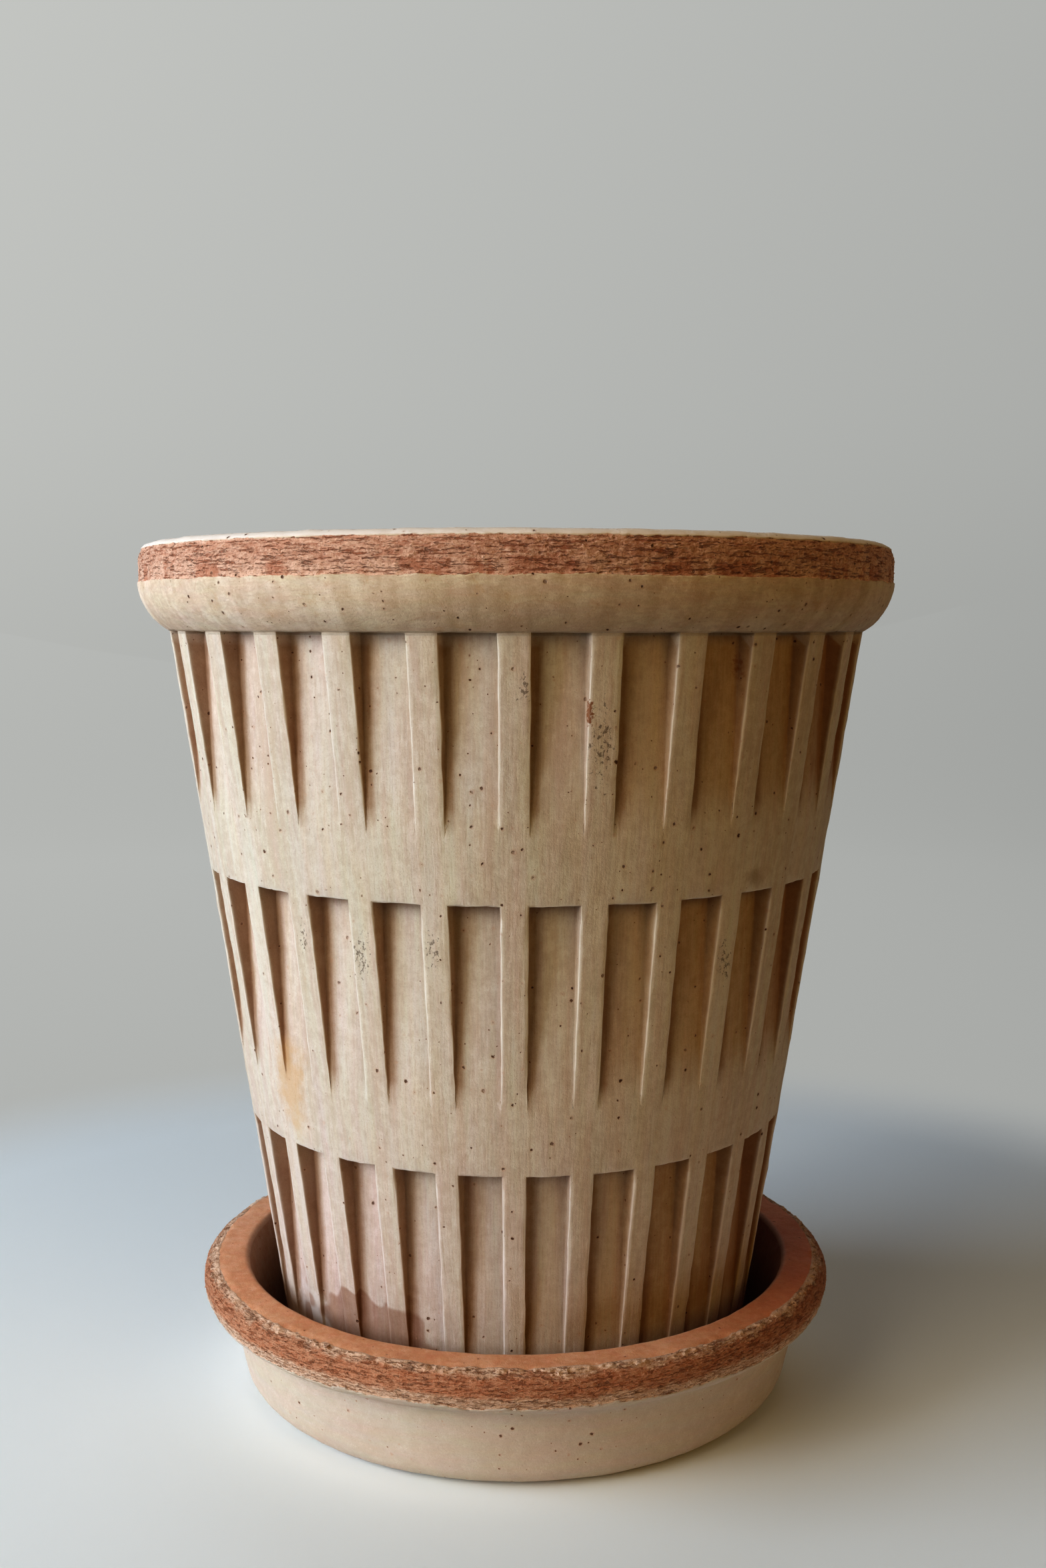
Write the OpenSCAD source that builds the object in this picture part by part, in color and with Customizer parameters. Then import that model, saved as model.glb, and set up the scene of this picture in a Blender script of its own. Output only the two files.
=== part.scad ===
// Clay flower pot in its saucer. The pot tapers to its foot and has three tiers of wedge-cut flutes
// below a rolled rim. Millimetres, +Z up, origin at the middle of the saucer's underside.

/* [Pot] */
// Height of the pot, from its foot to the top of its rim
pot_h = 230; // [215:0.5:250]
// Diameter over the rim
rim_d = 210; // [202:0.5:230]
// How far the rim stands out from the body below it
rim_overhang = 8.4; // [5:0.1:11]
// Height of the rim
rim_h = 23.8; // [20:0.1:28]
// Height of the flat face round the rim
rim_face_h = 4.9; // [2:0.1:7]
// Radius of the rim's top edges
rim_round = 4.6; // [2:0.1:5.5]
// Diameter of the foot
foot_d = 130; // [122:0.5:140]
// Radius of the foot's edge
foot_round = 2.5; // [1:0.1:4]
// Thickness of the wall at the ribs, measured level
wall_t = 12.5; // [10:0.1:15]
// Thickness of the pot's floor
floor_t = 12; // [8:0.1:16]
// Radius of the corner inside the pot, where wall meets floor
inside_round = 10; // [5:0.5:14]
// Diameter of the drain hole
drain_d = 25; // [12:0.5:36]

/* [Flutes] */
// Number of flutes round the pot
flutes = 28; // [20:2:36]
// Number of tiers of flutes
tiers = 3; // [2:1:4]
// Share of the way round that the flutes take, the rest being ribs
flute_share = 0.61; // [0.4:0.01:0.75]
// Depth of a flute at its top; it runs out to nothing at its foot
flute_depth = 5.2; // [3:0.1:6.5]
// Plain band between two tiers
band_h = 17; // [12:0.1:22]
// Plain band between the lowest flutes and the foot
foot_band_h = 14.9; // [10:0.1:20]
// How much taller each tier is than the one above it
tier_growth = 1.094; // [1:0.001:1.15]

/* [Saucer] */
// Height of the saucer
saucer_h = 36.6; // [32:0.1:42]
// Thickness of the saucer's floor, which the pot stands on
saucer_floor_t = 8; // [5:0.1:11]
// Gap between the pot's foot and the saucer's wall, at the floor
foot_gap = 6; // [5.5:0.1:10]
// Thickness of the saucer's wall, measured level
saucer_wall_t = 8.2; // [6:0.1:10]
// Lean of the saucer's wall from upright, in degrees
saucer_lean = 11.8; // [6:0.1:16]
// How far the saucer's rim stands out from its wall
saucer_overhang = 8; // [6:0.1:9]
// Height of the saucer's rim
saucer_rim_h = 12.4; // [11:0.1:14]
// Height of the flat face round the saucer's rim
saucer_face_h = 0.8; // [0.4:0.1:2]
// Radius of the outer top edge of the saucer's rim
saucer_round = 4.7; // [3:0.1:5.5]
// Radius of the inner top edge of the saucer's rim
saucer_lip_round = 2; // [1:0.1:3]
// Radius of the saucer's lower edge
heel_round = 8.8; // [6:0.1:11]
// Radius of the corner inside the saucer
saucer_inside_round = 4; // [2:0.1:5]

/* [Hidden] */

full_circle_facets = 128;
arc_steps = 8;
// How far a cutter reaches past the face that it opens
overcut = 1;

// Pot: heights are measured from the foot
rim_r = rim_d / 2;
foot_r = foot_d / 2;
body_h = pot_h - rim_h;
neck_r = rim_r - rim_overhang;
body_slope = (neck_r - foot_r) / body_h;
function body_r(z) = foot_r + body_slope * z;
function inside_r(z) = body_r(z) - wall_t;

// Tiers share the height between the rim and the foot band; the top one starts under the rim
flute_pitch = 360 / flutes;
flute_angle = flute_pitch * flute_share;
tier_parts = [for (i = [0 : tiers - 1]) pow(tier_growth, i)];
function sum(v, i = 0) = i < len(v) ? v[i] + sum(v, i + 1) : 0;
tier_zone_h = body_h - foot_band_h - (tiers - 1) * band_h;
function tier_h(i) = tier_zone_h * tier_parts[i] / sum(tier_parts);
function tier_top(i) = i == 0 ? body_h : tier_top(i - 1) - tier_h(i - 1) - band_h;

// Saucer: heights are measured from its underside
lean_slope = tan(saucer_lean);
saucer_rim_z = saucer_h - saucer_rim_h;
function saucer_inside_r(z) = foot_r + foot_gap + lean_slope * (z - saucer_floor_t);
function saucer_outside_r(z) = saucer_inside_r(z) + saucer_wall_t;
saucer_rim_r = saucer_outside_r(saucer_rim_z) + saucer_overhang;

// Points of an arc round [x, y] from angle a to angle b
function arc(x, y, r, a, b) =
    [for (i = [0 : arc_steps]) let (t = a + (b - a) * i / arc_steps) [x + r * cos(t), y + r * sin(t)]];

// The swelling underside of a rim: an arc from the wall at [r0, z0] out to [r1, z1], upright there
function swell(r0, z0, r1, z1) =
    let (out = r1 - r0, up = z1 - z0, r = (out * out + up * up) / (2 * out))
    arc(r1 - r, z1, r, atan2(-up, r0 - r1 + r), 0);

// Outline of a rim, from the wall below it over its top to its inner edge
function rim_outline(wall_r, base_z, out_r, top_z, face_h, out_round, in_r, in_round) =
    let (face_top = top_z - out_round, face_base = face_top - face_h)
    concat(
        swell(wall_r, base_z, out_r, face_base),
        arc(out_r - out_round, face_top, out_round, 0, 90),
        arc(in_r + in_round, top_z - in_round, in_round, 90, 180));

module pot_solid() {
    rotate_extrude($fn = full_circle_facets)
        polygon(concat(
            [[0, 0]],
            arc(foot_r - foot_round, foot_round, foot_round, -90, 0),
            rim_outline(neck_r, body_h, rim_r, pot_h, rim_face_h, rim_round, inside_r(pot_h), rim_round),
            arc(inside_r(floor_t) - inside_round, floor_t + inside_round, inside_round, 0, -90),
            [[0, floor_t]]));
}

// One flute of a tier, as the solid that is cut away: deepest under its top ledge, gone at its foot
module flute_cutter(top, height) {
    base = top - height;
    floor_slope = (body_r(top) - flute_depth - body_r(base)) / height;
    rotate([0, 0, -flute_angle / 2])
        rotate_extrude(angle = flute_angle, $fn = full_circle_facets)
            polygon([
                [body_r(top) - flute_depth, top],
                [body_r(top) + overcut, top],
                [body_r(base) + overcut, base - overcut],
                [body_r(base) - floor_slope * overcut, base - overcut]]);
}

// A rib, not a flute, faces the front
module flute_tiers() {
    for (tier = [0 : tiers - 1], i = [0 : flutes - 1])
        rotate([0, 0, (i + 0.5) * flute_pitch - 90])
            flute_cutter(tier_top(tier), tier_h(tier));
}

module pot() {
    color("tan")
        translate([0, 0, saucer_floor_t])
            difference() {
                pot_solid();
                flute_tiers();
                translate([0, 0, -overcut])
                    cylinder(h = floor_t + 2 * overcut, d = drain_d, $fn = full_circle_facets);
            }
}

// The wall is a straight line that touches the rounded heel
heel_r = saucer_outside_r(heel_round * (1 - sin(saucer_lean))) - heel_round * cos(saucer_lean);

module saucer() {
    color("peru")
        rotate_extrude($fn = full_circle_facets)
            polygon(concat(
                [[0, 0]],
                arc(heel_r, heel_round, heel_round, -90, -saucer_lean),
                rim_outline(saucer_outside_r(saucer_rim_z), saucer_rim_z, saucer_rim_r, saucer_h,
                    saucer_face_h, saucer_round, saucer_inside_r(saucer_h), saucer_lip_round),
                arc(saucer_inside_r(saucer_floor_t) - saucer_inside_round,
                    saucer_floor_t + saucer_inside_round, saucer_inside_round, -saucer_lean, -90),
                [[0, saucer_floor_t]]));
}

pot();
saucer();
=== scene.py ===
import math

import bmesh
import bpy
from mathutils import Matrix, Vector, noise


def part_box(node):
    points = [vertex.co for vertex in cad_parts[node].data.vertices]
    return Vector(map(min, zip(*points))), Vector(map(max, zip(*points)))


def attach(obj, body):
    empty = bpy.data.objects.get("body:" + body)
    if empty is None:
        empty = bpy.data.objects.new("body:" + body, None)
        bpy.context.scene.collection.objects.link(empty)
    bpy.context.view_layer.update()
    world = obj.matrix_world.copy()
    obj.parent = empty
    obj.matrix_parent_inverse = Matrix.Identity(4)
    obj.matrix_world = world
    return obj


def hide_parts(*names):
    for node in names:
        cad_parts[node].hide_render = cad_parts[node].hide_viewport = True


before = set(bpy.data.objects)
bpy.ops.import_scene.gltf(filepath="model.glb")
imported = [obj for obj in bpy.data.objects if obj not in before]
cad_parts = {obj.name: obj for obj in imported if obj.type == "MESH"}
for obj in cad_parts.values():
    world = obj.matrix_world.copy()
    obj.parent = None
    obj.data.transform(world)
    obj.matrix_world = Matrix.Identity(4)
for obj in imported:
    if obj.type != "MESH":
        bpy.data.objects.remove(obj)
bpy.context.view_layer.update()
potLow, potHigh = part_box("pot")
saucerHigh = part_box("saucer")[1]
mm = 0.001
mergeGap = 0.004 * mm
smoothAngle = math.radians(38)


# Camera, floor and light

photo = {
    "height": 2351,
    "sensorWidth": 36,
    "focalPixels": 2484.75,
    "distance": 473.1 * mm,  # level distance from the pot's axis
    "cameraHeight": 216.4 * mm,
    "sideways": 1.9 * mm,
    "pitchDown": 0.0964,
    "roll": -0.0014,
}

studio = {
    "sides": 96,
    "nearRadius": 0.25,  # only this much of the floor throws light back on the object
    "floorRadius": 1.1,
    "wallRadius": 1.9,
    "wallHeight": 2.6,
    "floorTone": (0.9, 0.95, 0.98),
    "wallTone": (0.985, 1.0, 0.97),
    "glowRadius": 0.36,  # from here outwards the backdrop glows by itself
    "wallGlow": 0.352,
    "sideFall": -0.05,
    "upRise": 0.035,
    "lowDim": 0.03,
    "dimHeight": 0.55,
    "airTone": (1.0, 0.68, 0.42),
    "airStrength": 0.014,
    "lampDistance": 1.5,
    "lampAim": (0, 0, 120 * mm),
}

# name, azimuth (degrees from the camera's side, positive towards the left), elevation, width, height,
# power and colour
lamps = [
    ("windowLight", 74, 11, 1.2, 1.1, 25, (0.69, 0.85, 1.04)),
    ("roomLight", 43, 25, 0.9, 1.1, 7.6, (1.0, 0.84, 0.6)),
    ("warmFill", -38, 15, 0.9, 1.1, 3.0, (1.0, 0.6, 0.11)),
    ("sideLight", -112, 12, 1.0, 1.1, 1.0, (0.92, 0.96, 1.0)),
    ("backLight", 176, 18, 1.3, 1.0, 3.4, (0.92, 0.96, 1.0)),
]


def makeCamera():
    data = bpy.data.cameras.new("photoCamera")
    data.sensor_width = photo["sensorWidth"]
    data.lens = photo["focalPixels"] * data.sensor_width / photo["height"]
    camera = bpy.data.objects.new("photoCamera", data)
    bpy.context.scene.collection.objects.link(camera)
    camera.location = (photo["sideways"], -photo["distance"], photo["cameraHeight"])
    camera.rotation_euler = (math.pi / 2 - photo["pitchDown"], photo["roll"], 0)
    bpy.context.scene.camera = camera


def plainMaterial(name, colour, roughness):
    material = bpy.data.materials.new(name)
    material.use_nodes = True
    shader = material.node_tree.nodes["Principled BSDF"]
    shader.inputs["Base Color"].default_value = (*colour, 1)
    shader.inputs["Roughness"].default_value = roughness
    return material


def makeFloor():
    bpy.ops.mesh.primitive_circle_add(vertices=studio["sides"], radius=studio["nearRadius"], fill_type="NGON")
    floor = bpy.context.object
    floor.name = "studioFloor"
    floor.data.materials.append(plainMaterial("studioPale", studio["floorTone"], 0.9))
    wall = startRing("studioWall", studio["sides"], studio["nearRadius"], 0)
    bend = studio["wallRadius"] - studio["floorRadius"]
    outline = [(studio["nearRadius"], 0), (studio["floorRadius"], 0)]
    goRound(outline, studio["floorRadius"], bend, bend, -90, 0, 12)
    turnOutline(outline + [(studio["wallRadius"], studio["wallHeight"])])
    bpy.ops.mesh.select_all(action="SELECT")
    bpy.ops.mesh.normals_make_consistent(inside=True)
    bpy.ops.object.mode_set(mode="OBJECT")
    bpy.ops.object.shade_smooth()
    wall.data.materials.append(sweepMaterial())
    wall.visible_diffuse = False


def sweepMaterial():
    # lit like the floor near the object, then an even grey that glows by itself, paler on the window's side
    material = plainMaterial("studioGrey", studio["floorTone"], 0.95)
    tree = material.node_tree
    shader = tree.nodes["Principled BSDF"]
    place = addNode(tree, "TexCoord", {}).outputs["Object"]
    split = axes(tree, place)
    away = fade(tree, lengthOf(tree, place), studio["nearRadius"], studio["glowRadius"])
    low = fade(tree, split[2], studio["dimHeight"], 0.0)
    glow = total(tree, (split[0], studio["sideFall"]), (split[2], studio["upRise"]), (low, -studio["lowDim"]),
                 (studio["wallGlow"], 1.0))
    feed(tree, blend(tree, away, studio["floorTone"], (0, 0, 0)), shader.inputs["Base Color"])
    feed(tree, studio["wallTone"], shader.inputs["Emission Color"])
    feed(tree, product(tree, away, glow), shader.inputs["Emission Strength"])
    return material


def makeLamp(name, azimuth, elevation, width, height, power, colour):
    turn, lift = math.radians(azimuth), math.radians(elevation)
    away = Vector((-math.sin(turn) * math.cos(lift), -math.cos(turn) * math.cos(lift), math.sin(lift)))
    data = bpy.data.lights.new(name, "AREA")
    data.shape = "RECTANGLE"
    data.size = width
    data.size_y = height
    data.energy = power
    data.color = colour
    lamp = bpy.data.objects.new(name, data)
    bpy.context.scene.collection.objects.link(lamp)
    lamp.location = Vector(studio["lampAim"]) + away * studio["lampDistance"]
    lamp.rotation_euler = (-away).to_track_quat("-Z", "Y").to_euler()


def makeLight():
    world = bpy.data.worlds.new("studioAir")
    world.use_nodes = True
    air = world.node_tree.nodes["Background"]
    air.inputs["Color"].default_value = (*studio["airTone"], 1)
    air.inputs["Strength"].default_value = studio["airStrength"]
    bpy.context.scene.world = world
    for lamp in lamps:
        makeLamp(*lamp)
    bpy.context.scene.view_settings.view_transform = "Standard"
    bpy.context.scene.view_settings.look = "High Contrast"


# Modelling helpers

def startRing(name, sides, radius, height, turn=0):
    bpy.ops.object.select_all(action="DESELECT")
    bpy.ops.mesh.primitive_circle_add(vertices=sides, radius=radius, location=(0, 0, height),
                                      rotation=(0, 0, turn))
    piece = bpy.context.object
    piece.name = name
    piece.data.name = name
    bpy.ops.object.transform_apply(location=True, rotation=True, scale=True)
    bpy.ops.object.mode_set(mode="EDIT")
    bpy.ops.mesh.select_mode(type="EDGE")
    bpy.ops.mesh.select_all(action="SELECT")
    return piece


def turnOutline(outline):
    # the open ring is pulled to each next point of the outline and sized to it
    for (radius, height), (nextRadius, nextHeight) in zip(outline, outline[1:]):
        bpy.ops.mesh.extrude_region_move(TRANSFORM_OT_translate={"value": (0, 0, nextHeight - height)})
        size = nextRadius / radius
        bpy.ops.transform.resize(value=(size, size, 1), center_override=(0, 0, nextHeight))


def pick(kind, test):
    # selects what passes the test among the vertices, edges or faces that show
    bpy.ops.mesh.select_mode(type=kind)
    bpy.ops.mesh.select_all(action="DESELECT")
    data = bpy.context.object.data
    mesh = bmesh.from_edit_mesh(data)
    parts = {"VERT": mesh.verts, "EDGE": mesh.edges, "FACE": mesh.faces}[kind]
    for part in parts:
        if not part.hide and test(part):
            part.select_set(True)
    bmesh.update_edit_mesh(data)


def arcPoints(centreRadius, centreHeight, radius, start, end, steps):
    # points of a round stretch of an outline, angles in degrees from level
    angles = [math.radians(start + (end - start) * step / steps) for step in range(steps + 1)]
    return [(centreRadius + radius * math.cos(a), centreHeight + radius * math.sin(a)) for a in angles]


def swellPoints(startRadius, startHeight, endRadius, endHeight, steps):
    # the swelling underside of a rim, which ends upright
    out, up = endRadius - startRadius, endHeight - startHeight
    radius = (out * out + up * up) / (2 * out)
    start = math.degrees(math.atan2(-up, startRadius - endRadius + radius))
    return arcPoints(endRadius - radius, endHeight, radius, start, 0, steps)


def goStraight(outline, end, steps):
    # carries an outline on to the end point
    start = outline[-1]
    outline.extend(tuple(a + (b - a) * step / steps for a, b in zip(start, end))
                   for step in range(1, steps + 1))


def goRound(outline, *arc):
    # carries an outline on round an arc that starts at its last point
    outline.extend(arcPoints(*arc)[1:])


def easedPoints(start, corner, end, steps):
    # a soft turn from start to end that would be sharp at the corner
    points = []
    for step in range(1, steps + 1):
        t = step / steps
        shares = ((1 - t) ** 2, 2 * t * (1 - t), t * t)
        points.append(tuple(sum(share * side for share, side in zip(shares, sides))
                            for sides in zip(start, corner, end)))
    return points


def mergeAndTurnOut():
    # vertices that lie together become one, and the faces point outwards
    bpy.ops.mesh.select_all(action="SELECT")
    bpy.ops.mesh.remove_doubles(threshold=mergeGap)
    bpy.ops.mesh.normals_make_consistent(inside=False)


def angleShare(place, copies):
    # how far round its own copy a point lies: 0 and 1 are the middles of two ribs, 0.5 that of a flute
    turn = math.atan2(place.y, place.x) + math.pi / 2
    return (turn / math.tau * copies) % 1


def displace(piece, kind, size, strength, middle, squash=(1, 1, 1), direction="NORMAL", group="", **settings):
    # size is the pattern's grain, and squash stretches it along each axis
    texture = bpy.data.textures.new(piece.name + kind, kind)
    for name, value in settings.items():
        setattr(texture, name, value)
    bpy.ops.object.empty_add()
    guide = bpy.context.object
    guide.scale = [size * side for side in squash]
    bpy.ops.object.select_all(action="DESELECT")
    piece.select_set(True)
    bpy.context.view_layer.objects.active = piece
    bpy.ops.object.modifier_add(type="DISPLACE")
    change = piece.modifiers[-1]
    change.texture = texture
    change.texture_coords = "OBJECT"
    change.texture_coords_object = guide
    change.direction = direction
    change.strength = strength
    change.mid_level = middle
    change.vertex_group = group
    bpy.ops.object.modifier_apply(modifier=change.name)
    bpy.data.objects.remove(guide)


# Finish helpers: most of them return the socket that carries their result

def feed(tree, value, socket):
    if isinstance(value, bpy.types.NodeSocket):
        tree.links.new(value, socket)
    elif socket.type == "RGBA" and len(value) == 3:
        socket.default_value = (*value, 1)
    else:
        socket.default_value = value


def addNode(tree, kind, values, **settings):
    item = tree.nodes.new("ShaderNode" + kind)
    for name, value in settings.items():
        setattr(item, name, value)
    for socket, value in values.items():
        feed(tree, value, item.inputs[socket])
    return item


def calc(tree, operation, first, second=0.0):
    return addNode(tree, "Math", {0: first, 1: second}, operation=operation).outputs[0]


def total(tree, *shares):
    # sum of sockets, each times its own factor
    result = 0.0
    for socket, factor in shares:
        result = addNode(tree, "Math", {0: socket, 1: factor, 2: result}, operation="MULTIPLY_ADD").outputs[0]
    return result


def product(tree, *sockets):
    result = sockets[0]
    for socket in sockets[1:]:
        result = calc(tree, "MULTIPLY", result, socket)
    return result


def without(tree, share):
    return calc(tree, "SUBTRACT", 1.0, share)


def highest(tree, *sockets):
    result = sockets[0]
    for socket in sockets[1:]:
        result = calc(tree, "MAXIMUM", result, socket)
    return result


def fade(tree, value, start, end):
    # eases from 0 at start to 1 at end
    values = {"Value": value, "From Min": start, "From Max": end}
    return addNode(tree, "MapRange", values, interpolation_type="SMOOTHSTEP").outputs[0]


def blend(tree, factor, first, second, kind="MIX"):
    values = {0: factor, 6: first, 7: second}
    return addNode(tree, "Mix", values, data_type="RGBA", blend_type=kind).outputs[2]


def tint(tree, factor, colour, by):
    return blend(tree, factor, colour, by, "MULTIPLY")


def calcVector(tree, operation, *vectors):
    return addNode(tree, "VectorMath", dict(enumerate(vectors)), operation=operation).outputs[0]


def lengthOf(tree, vector):
    return addNode(tree, "VectorMath", {0: vector}, operation="LENGTH").outputs["Value"]


def axes(tree, vector):
    return addNode(tree, "SeparateXYZ", {0: vector}).outputs


def stretched(tree, vector, factors):
    return calcVector(tree, "MULTIPLY", vector, factors)


def grain(tree, vector, size, detail=2.0, roughness=0.5):
    # soft noise whose patches are about size across
    values = {"Vector": vector, "Scale": 1 / size, "Detail": detail, "Roughness": roughness}
    return addNode(tree, "TexNoise", values).outputs[0]


def bendPlace(tree, place, scale, reach):
    # the place pushed about by a noise, so that a pattern read there is ragged
    push = addNode(tree, "TexNoise", {"Vector": place, "Scale": scale, "Detail": 3.0}).outputs["Color"]
    return calcVector(tree, "MULTIPLY_ADD", push, reach, place)


def meshValue(tree, name):
    return addNode(tree, "Attribute", {}, attribute_name=name).outputs["Fac"]


socketKinds = {"vector": "NodeSocketVector", "value": "NodeSocketFloat", "colour": "NodeSocketColor"}


def newGroup(name, takes, gives):
    group = bpy.data.node_groups.new(name, "ShaderNodeTree")
    for way, sockets in (("INPUT", takes), ("OUTPUT", gives)):
        for label, kind in sockets.items():
            group.interface.new_socket(name=label, in_out=way, socket_type=socketKinds[kind])
    given = group.nodes.new("NodeGroupInput").outputs
    result = group.nodes.new("NodeGroupOutput").inputs
    return group, given, result


def useGroup(tree, group, values):
    return addNode(tree, "Group", values, node_tree=group).outputs


# Clay finishes, as node groups that the pot and the saucer share; all lengths in them are mm

def makeWheelPlace():
    # the place in mm, and the same drawn out to one radius so that streaks follow a leaning wall
    drawnRadius = 85
    gives = {"Place": "vector", "Around": "vector", "Radius": "value", "Height": "value"}
    group, given, result = newGroup("wheelPlace", {"Place": "vector"}, gives)
    place = stretched(group, given["Place"], (1000, 1000, 1000))
    height = axes(group, place)[2]
    level = stretched(group, place, (1, 1, 0))
    radius = lengthOf(group, level)
    outward = calcVector(group, "NORMALIZE", level)
    upright = addNode(group, "CombineXYZ", {2: height}).outputs[0]
    around = stretched(group, outward, (drawnRadius, drawnRadius, 0))
    around = calcVector(group, "ADD", around, upright)
    for label, socket in (("Place", place), ("Around", around), ("Radius", radius), ("Height", height)):
        feed(group, socket, result[label])
    return group


def makeClayPores():
    # scattered pits of mixed size, each with a soft halo
    smallest = 0.12
    takes = {"Place": "vector", "Spacing": "value", "Largest": "value", "Share": "value"}
    group, given, result = newGroup("clayPores", takes, {"Pore": "value", "Halo": "value"})
    bent = bendPlace(group, given["Place"], 1.3, (0.6, 0.6, 0.6))
    closeness = calc(group, "DIVIDE", 1.0, given["Spacing"])
    cells = addNode(group, "TexVoronoi", {"Vector": bent, "Scale": closeness})
    reach = product(group, cells.outputs["Distance"], given["Spacing"])
    chance = addNode(group, "SeparateColor", {0: cells.outputs["Color"]}).outputs
    size = product(group, given["Largest"], calc(group, "POWER", chance[0], 4.0))
    size = calc(group, "ADD", size, smallest)
    kept = calc(group, "LESS_THAN", chance[1], given["Share"])
    reach = calc(group, "DIVIDE", reach, size)
    core = fade(group, reach, 1.25, 0.65)
    halo = fade(group, reach, 2.4, 1.0)
    deep = fade(group, chance[2], -0.6, 0.8)
    feed(group, product(group, core, kept, deep), result["Pore"])
    feed(group, product(group, halo, kept), result["Halo"])
    return group


def makeLimeSlip():
    # pale lime skin on the clay, with upright wipe marks, soft blotches and a fine tooth
    speckTone, chalkTone = (0.4, 0.28, 0.19), (0.78, 0.74, 0.68)
    takes = {"Place": "vector", "Along": "vector", "Pale": "colour", "Deep": "colour", "Streaks": "value"}
    group, given, result = newGroup("limeSlip", takes, {"Color": "colour", "Height": "value"})
    along = given["Along"]
    blotch = grain(group, along, 17, 4.0, 0.6)
    values = {"Vector": along, "Scale": 1 / 3.2, "Detail": 5.0, "Roughness": 0.65}
    brush, brushColour = addNode(group, "TexNoise", values).outputs
    streak = grain(group, along, 0.75, 3.0, 0.65)
    mottle = grain(group, given["Place"], 2.6, 5.0, 0.68)
    tooth = grain(group, given["Place"], 0.4, 3.0, 0.65)
    marks = product(group, total(group, (streak, 0.6), (brush, 0.6), (0.6, -1.0)), given["Streaks"])
    tone = total(group, (blotch, 1.1), (mottle, 1.3), (marks, 1.8), (0.7, -1.0))
    skin = blend(group, fade(group, tone, 0.18, 0.84), given["Pale"], given["Deep"])
    hue = calcVector(group, "MULTIPLY_ADD", brushColour, (0.2, 0.14, 0.2), (0.91, 0.93, 0.89))
    skin = tint(group, 1.0, skin, hue)
    speck = fade(group, tooth, 0.5, 0.7)
    skin = blend(group, product(group, speck, 0.22), skin, speckTone)
    chalk = fade(group, total(group, (mottle, 0.6), (tooth, 1.0)), 0.72, 0.56)
    skin = blend(group, product(group, chalk, 0.2), skin, chalkTone)
    feed(group, skin, result["Color"])
    feed(group, total(group, (marks, 0.16), (mottle, 0.14), (tooth, 0.06)), result["Height"])
    return group


def makeHairlines():
    # faint cracks where the edges of large cells would run, broken off in places
    group, given, result = newGroup("hairlines", {"Place": "vector", "Width": "value"}, {"Line": "value"})
    place = given["Place"]
    bent = stretched(group, bendPlace(group, place, 0.35, (1.5, 1.5, 1)), (0.55, 0.55, 0.9))
    cells = addNode(group, "TexVoronoi", {"Vector": bent, "Scale": 0.17, "Randomness": 0.8},
                    feature="DISTANCE_TO_EDGE")
    line = fade(group, calc(group, "DIVIDE", cells.outputs["Distance"], given["Width"]), 1.0, 0.2)
    feed(group, product(group, line, fade(group, grain(group, place, 8.0, 2.0), 0.48, 0.6)), result["Line"])
    return group


def makeScrapedClay():
    # bare clay torn into level flakes by the scraper, with dark crevices between them
    takes = {"Place": "vector", "Pit": "value", "Low": "value", "Red": "colour", "Pale": "colour",
             "Deep": "colour"}
    group, given, result = newGroup("scrapedClay", takes, {"Color": "colour", "Height": "value"})
    place = given["Place"]
    bent = bendPlace(group, place, 0.9, (1.6, 1.6, 0.7))
    level = stretched(group, bent, (0.3, 0.3, 1.25))
    flakes = addNode(group, "TexVoronoi", {"Vector": level, "Scale": 1.1})
    chance = addNode(group, "SeparateColor", {0: flakes.outputs["Color"]}).outputs
    crumb = grain(group, place, 0.5, 3.0, 0.65)
    tear = grain(group, stretched(group, bent, (0.17, 0.17, 1.7)), 0.9, 4.0, 0.62)
    nick = grain(group, stretched(group, place, (0.5, 0.5, 1.6)), 0.45, 2.0, 0.5)
    nicks = product(group, fade(group, nick, 0.38, 0.3), 0.7)
    lines = highest(group, fade(group, tear, 0.44, 0.38), nicks)
    patch = grain(group, stretched(group, place, (1, 1, 0.2)), 7.0, 3.0, 0.5)
    ruddy = product(group, fade(group, total(group, (patch, 1.0), (crumb, 0.3)), 0.6, 0.74), given["Low"])
    tone = total(group, (chance[0], 0.35), (crumb, 1.2), (tear, 1.2), (given["Low"], 0.3), (ruddy, -0.6),
                 (1.0, -1.0))
    clay = blend(group, fade(group, tone, -0.1, 0.8), given["Red"], given["Pale"])
    pits = product(group, fade(group, given["Pit"], 0.5, 1.0), 0.6)
    dark = highest(group, product(group, lines, 0.62), pits)
    feed(group, blend(group, dark, clay, given["Deep"]), result["Color"])
    feed(group, total(group, (lines, -0.35), (crumb, 0.25), (chance[1], 0.16)), result["Height"])
    return group


def makeMarkAt():
    # one ragged mark round a place, such as a stain or a scuff; wander is a noise about 0.5
    takes = {"Place": "vector", "Centre": "vector", "Size": "vector", "Wander": "value", "Ragged": "value",
             "Border": "value"}
    group, given, result = newGroup("markAt", takes, {"Mask": "value"})
    offset = calcVector(group, "SUBTRACT", given["Place"], given["Centre"])
    reach = lengthOf(group, calcVector(group, "DIVIDE", offset, given["Size"]))
    wander = calc(group, "SUBTRACT", given["Wander"], 0.5)
    reach = calc(group, "ADD", reach, product(group, wander, given["Ragged"]))
    feed(group, fade(group, reach, 1.0, without(group, given["Border"])), result["Mask"])
    return group


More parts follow.
